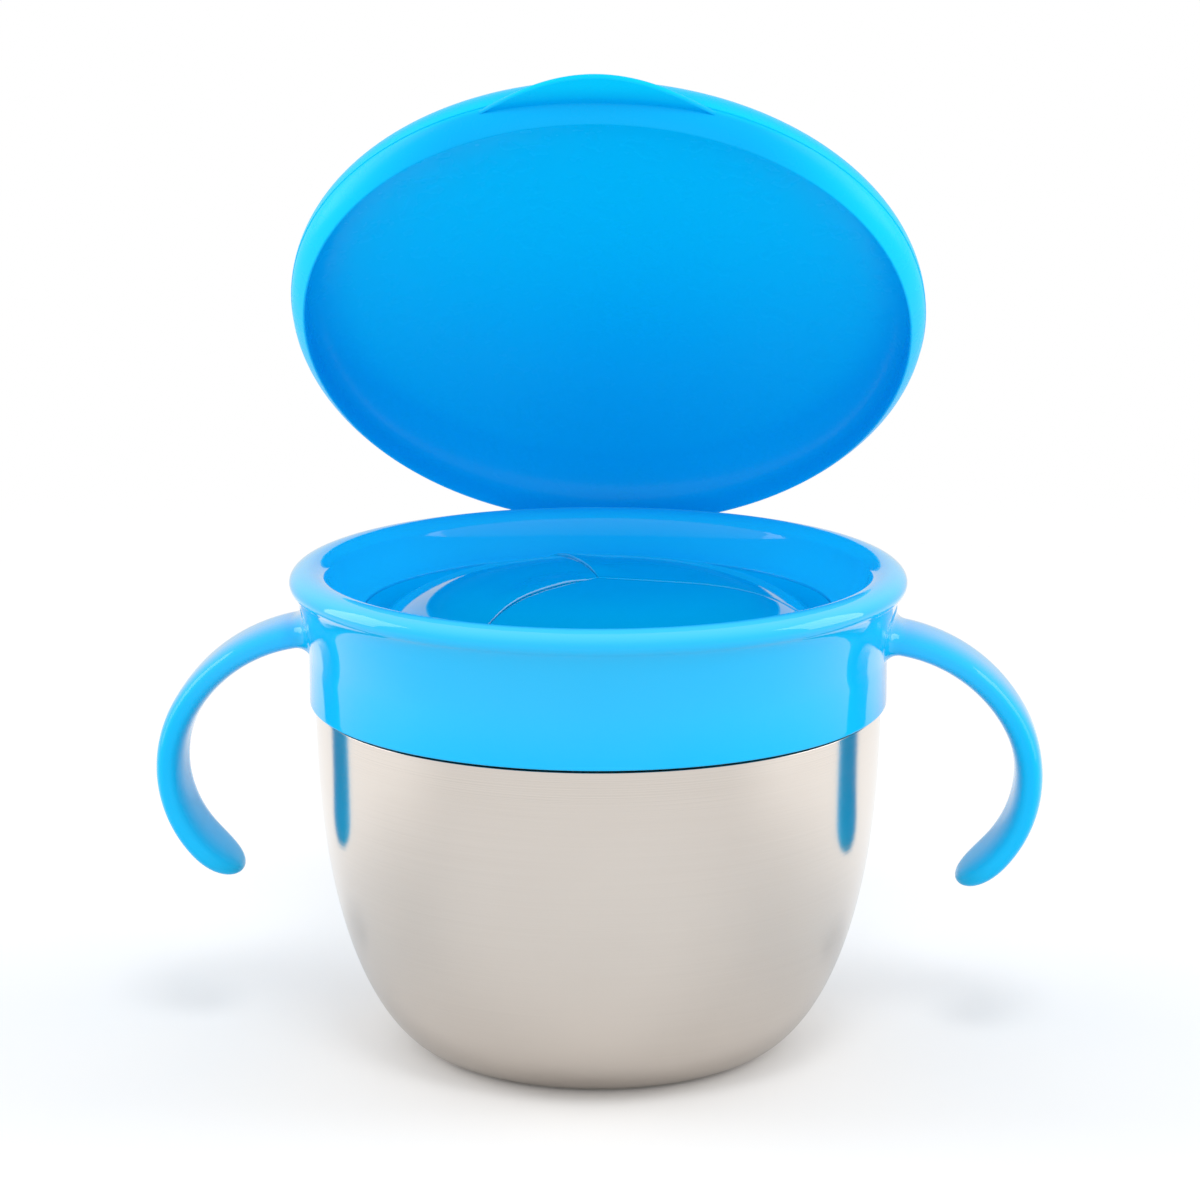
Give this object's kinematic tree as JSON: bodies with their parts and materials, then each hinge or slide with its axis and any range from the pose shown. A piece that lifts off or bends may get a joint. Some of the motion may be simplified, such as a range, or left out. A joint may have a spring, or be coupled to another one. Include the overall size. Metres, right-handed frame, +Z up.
{
  "type": "toddler snack container",
  "caption": "Round steel snack bowl with a blue two-handled collar, soft slit flaps in its mouth and a hinged domed lid standing open.",
  "frame": {"origin": "centre of the bowl's flat base, on the surface that it stands on", "axes": "+Z up, +X along the handles towards the right handle, +Y towards the back, where the lid's hinge is"},
  "size_m": [0.1382, 0.1111, 0.1524],
  "materials": {
    "steel": "satin stainless steel, polished soft",
    "seal_silicone": "milky silicone",
    "collar_plastic": "high gloss",
    "pin_steel": "ground",
    "flap_rubber": "semi-gloss soft sheet",
    "lid_plastic": "satin"
  },
  "bodies": {
    "bowl": {"steel_bowl": "steel", "bowl_neck": "steel"},
    "seal": {"seal_ring": "seal_silicone"},
    "collar": {"collar": "collar_plastic", "hinge_bracket": "collar_plastic", "hinge_pin": "pin_steel", "left_handle": "collar_plastic", "right_handle": "collar_plastic", "flap_ring": "flap_rubber"},
    "flap_left": {"left_flap": "flap_rubber"},
    "flap_front": {"front_flap": "flap_rubber"},
    "flap_right": {"right_flap": "flap_rubber"},
    "lid": {"lid": "lid_plastic", "thumb_tab": "lid_plastic", "hinge_arm": "lid_plastic"}
  },
  "joints": [
    {"name": "collar_lift", "type": "slide", "parent": "bowl", "child": "seal", "axis": [0, 0, 1], "range_m": [0, 0.03]},
    {"name": "collar_twist", "type": "hinge", "parent": "seal", "child": "collar", "pos_m": [0, 0, 0.06], "axis": [0, 0, 1], "range_deg": [0, 90]},
    {"name": "lid_hinge", "type": "hinge", "parent": "collar", "child": "lid", "pos_m": [0, 0.05105, 0.06295], "axis": [-1, 0, 0], "range_deg": [-49.4, 70.6]},
    {"name": "left_flap_bend", "type": "hinge", "parent": "collar", "child": "flap_left", "pos_m": [-0.01538, 0.00189, 0.07086], "axis": [0.1219, 0.9925, 0], "range_deg": [-15, 82], "stiffness_Nm_per_rad": 0.015},
    {"name": "front_flap_bend", "type": "hinge", "parent": "collar", "child": "flap_front", "pos_m": [0.00606, -0.01427, 0.07086], "axis": [-0.9205, -0.3907, 0], "range_deg": [-15, 82], "stiffness_Nm_per_rad": 0.015},
    {"name": "right_flap_bend", "type": "hinge", "parent": "collar", "child": "flap_right", "pos_m": [0.00933, 0.01238, 0.07086], "axis": [0.7986, -0.6018, 0], "range_deg": [-15, 82], "stiffness_Nm_per_rad": 0.015}
  ]
}
